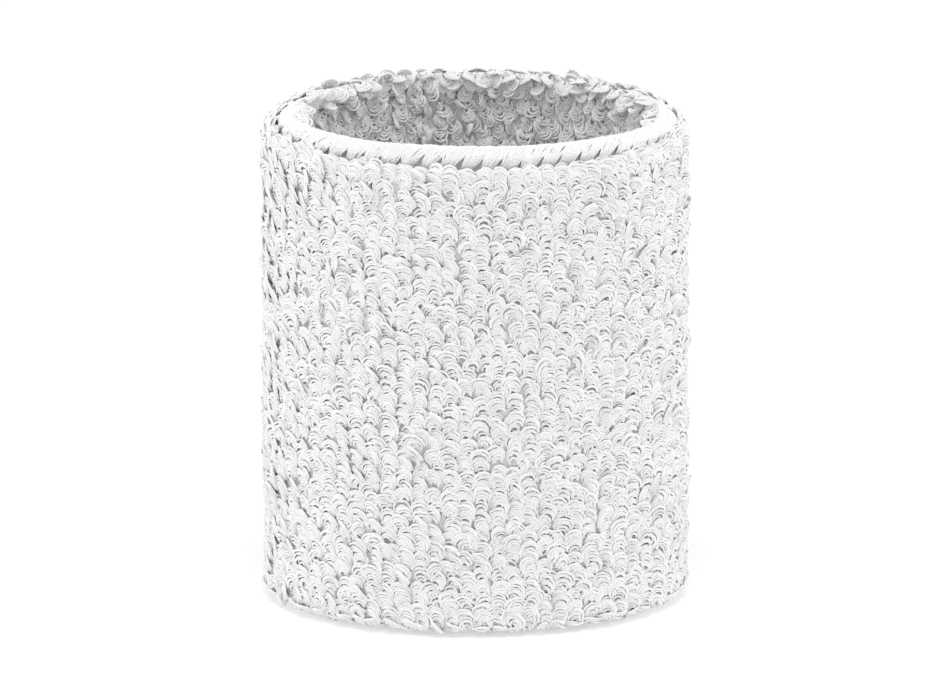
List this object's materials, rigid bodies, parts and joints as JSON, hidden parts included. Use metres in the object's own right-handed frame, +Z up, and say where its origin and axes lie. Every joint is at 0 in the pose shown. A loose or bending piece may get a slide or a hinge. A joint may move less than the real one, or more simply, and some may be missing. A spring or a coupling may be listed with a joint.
{
  "type": "sweat wristband",
  "caption": "Tubular terry sweatband for the wrist: a double-walled knit sleeve, folded at the bottom and overlocked along the top edge.",
  "frame": {"origin": "middle of the oval footprint, on the surface that the folded edge stands on", "axes": "+Z up the sleeve to the overlocked edge, +X along the long way across the oval, +Y along its short way, to the back"},
  "size_m": [0.069, 0.048, 0.08],
  "materials": {
    "pile_yarn": "white cotton terry loops, matt and fuzzy",
    "ground_yarn": "white knitted ground, matt",
    "elastic_yarn": "white covered elastic, satin",
    "seam_thread": "white bulked overlock thread, soft sheen"
  },
  "bodies": {
    "root": {"terry_pile": "pile_yarn", "ground_knit": "ground_yarn", "elastic_yarn": "elastic_yarn", "upper_looper_thread": "seam_thread", "lower_looper_thread": "seam_thread", "needle_thread": "seam_thread"}
  },
  "joints": []
}
